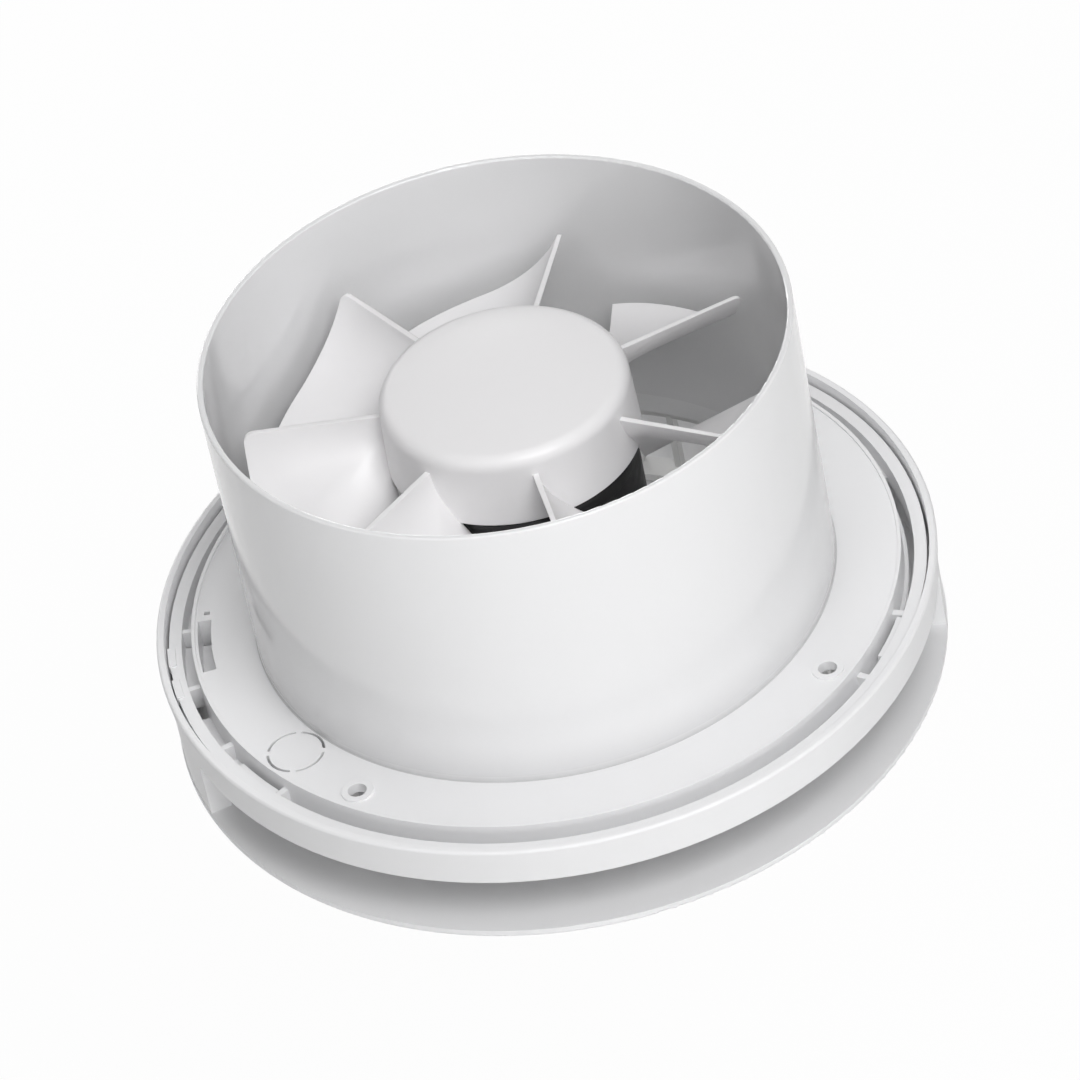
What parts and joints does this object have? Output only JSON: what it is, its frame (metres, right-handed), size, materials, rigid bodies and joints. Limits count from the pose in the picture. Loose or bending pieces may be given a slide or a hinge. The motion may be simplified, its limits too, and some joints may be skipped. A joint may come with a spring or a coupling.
{
  "type": "bathroom exhaust fan",
  "caption": "Round axial bathroom exhaust fan: duct spigot on a wall plate, bladed impeller on a small motor, and a clip-on front cover with side intake slots.",
  "frame": {"origin": "on the duct's axis in the plane of the wall, at the centre of the wall-screw circle", "axes": "+Z along the duct into the wall, -Z towards the room; the two intake slots face -Y and +Y"},
  "size_m": [0.1992, 0.1992, 0.1084],
  "materials": {
    "white_abs": "semi-gloss moulded white plastic",
    "cage_abs": "satin moulded white plastic",
    "impeller_plastic": "satin moulded off-white plastic",
    "black_plastic": "satin black moulded plastic",
    "lamination_steel": "stacked electrical steel",
    "copper": "enamelled copper wire",
    "bearing_steel": "ground bearing steel",
    "zinc_steel": "zinc-plated steel",
    "shaft_steel": "ground steel",
    "rubber": "soft black rubber",
    "terminal_plastic": "natural plastic",
    "brass": "plain brass",
    "brown_insulation": "brown wire insulation",
    "blue_insulation": "blue wire insulation"
  },
  "bodies": {
    "housing": {"rear_housing": "white_abs", "motor_cage": "cage_abs", "motor_shell": "black_plastic", "motor_end_cap": "black_plastic", "stator_core": "lamination_steel", "stator_windings": "copper", "bearing_lower": "bearing_steel", "bearing_upper": "bearing_steel", "motor_bolts": "zinc_steel", "motor_nuts": "zinc_steel", "rubber_grommets": "rubber", "cage_screws": "zinc_steel", "terminal_cover_screw": "zinc_steel", "cable_clamp_screws": "zinc_steel", "terminal_block": "terminal_plastic", "terminal_screws": "brass", "terminal_cover": "cage_abs", "cable_clamp": "cage_abs", "motor_lead_live": "brown_insulation", "motor_lead_neutral": "blue_insulation"},
    "rotor": {"impeller": "impeller_plastic", "hub_bush": "brass", "hub_spring_clip": "shaft_steel", "rotor_shaft": "shaft_steel", "rotor_core": "lamination_steel", "thrust_washers": "shaft_steel"},
    "cover": {"front_cover": "white_abs"}
  },
  "joints": [
    {"name": "impeller_spin", "type": "hinge", "parent": "housing", "child": "rotor", "pos_m": [0, 0, 0.03], "axis": [0, 0, 1], "continuous": true},
    {"name": "cover_pull_off", "type": "slide", "parent": "housing", "child": "cover", "axis": [0, 0, -1], "range_m": [0, 0.06]}
  ]
}
